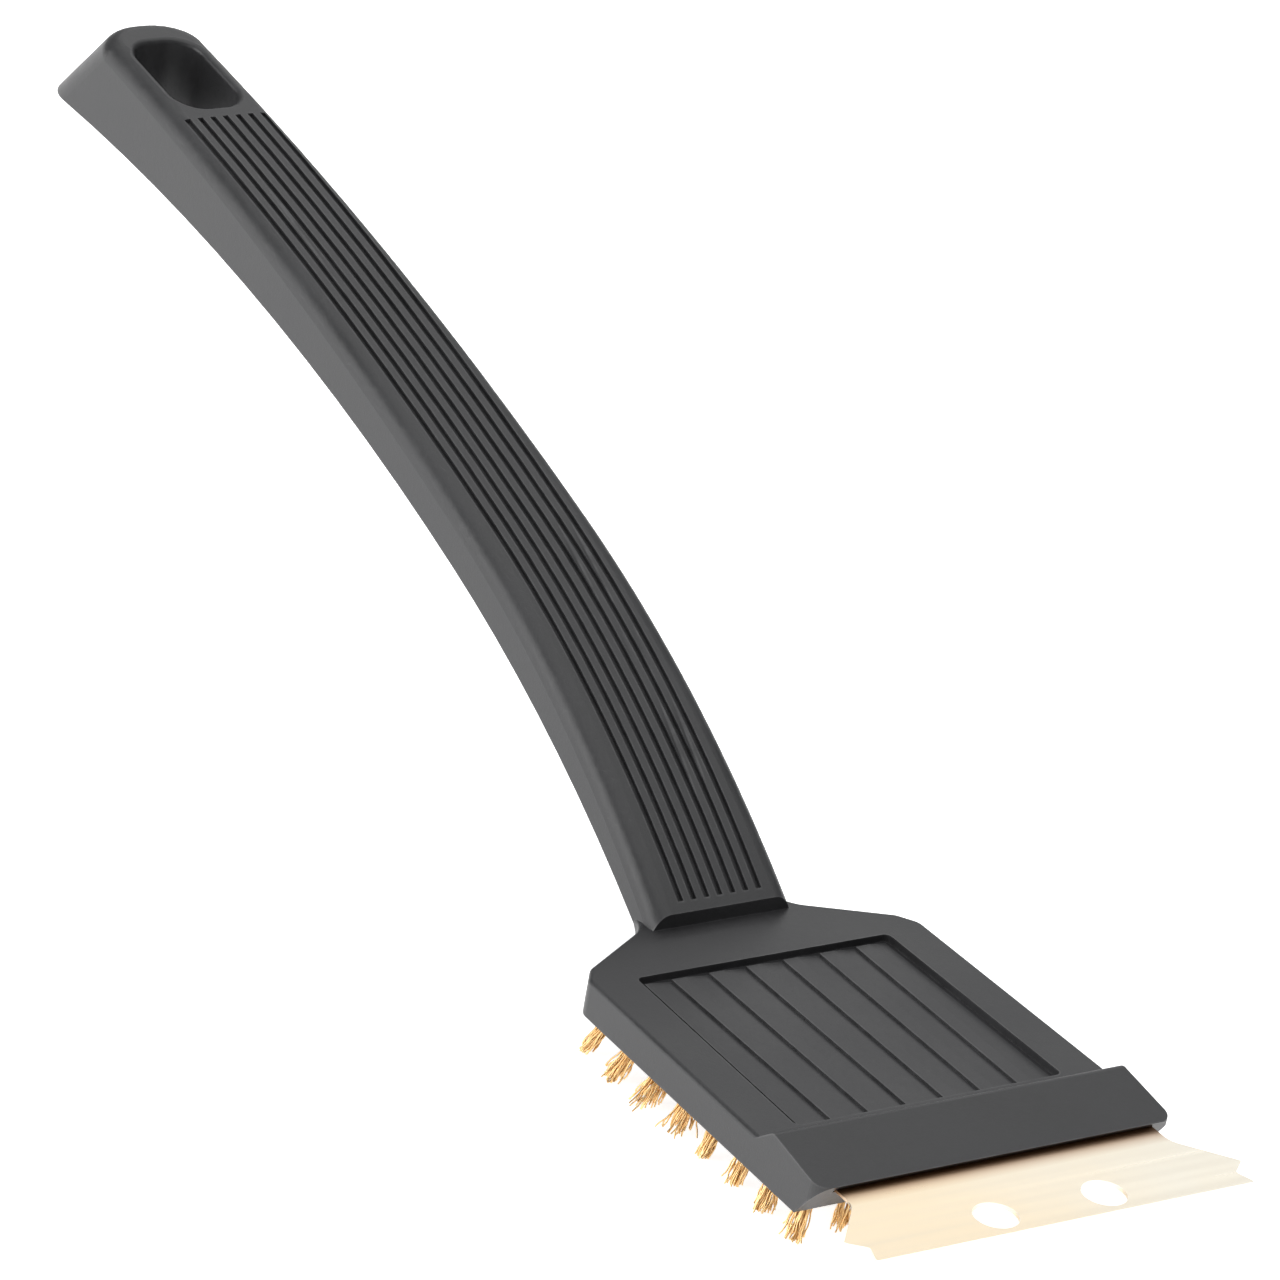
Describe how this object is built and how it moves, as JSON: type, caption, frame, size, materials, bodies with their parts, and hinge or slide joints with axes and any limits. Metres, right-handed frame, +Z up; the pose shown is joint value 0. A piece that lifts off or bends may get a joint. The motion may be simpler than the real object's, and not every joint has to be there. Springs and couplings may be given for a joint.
{
  "type": "grill cleaning brush",
  "caption": "Long-handled grill brush with an arched ribbed grip and hanging hole, a wide head of brass wire tufts and a flat fish-tail steel scraper at the nose.",
  "frame": {"origin": "middle of the brush's box at the height of the bristle tips", "axes": "+X towards the scraper's edge, along the head and handle; +Y across the head; +Z up, away from the bristle tips"},
  "size_m": [0.434, 0.1032, 0.1122],
  "materials": {
    "body_resin": "fine-textured black moulding, slightly polished on the ribs and edges",
    "blade_steel": "bright rolled sheet with fine lengthwise brushing and cut edges",
    "screw_steel": "plain zinc-grey machine screws",
    "brass_wire": "drawn brass-plated wire, brighter at the cut tips and darker at the roots",
    "anchor_brass": "flat drawn wire"
  },
  "bodies": {
    "root": {"brush_body": "body_resin", "scraper_blade": "blade_steel", "blade_screw_right": "screw_steel", "blade_screw_middle": "screw_steel", "blade_screw_left": "screw_steel", "tuft_row_1": "brass_wire", "tuft_row_2": "brass_wire", "tuft_row_3": "brass_wire", "tuft_row_4": "brass_wire", "tuft_row_5": "brass_wire", "tuft_row_6": "brass_wire", "tuft_row_7": "brass_wire", "tuft_row_8": "brass_wire", "anchor_row_1": "anchor_brass", "anchor_row_2": "anchor_brass", "anchor_row_3": "anchor_brass", "anchor_row_4": "anchor_brass", "anchor_row_5": "anchor_brass", "anchor_row_6": "anchor_brass", "anchor_row_7": "anchor_brass", "anchor_row_8": "anchor_brass"}
  },
  "joints": []
}
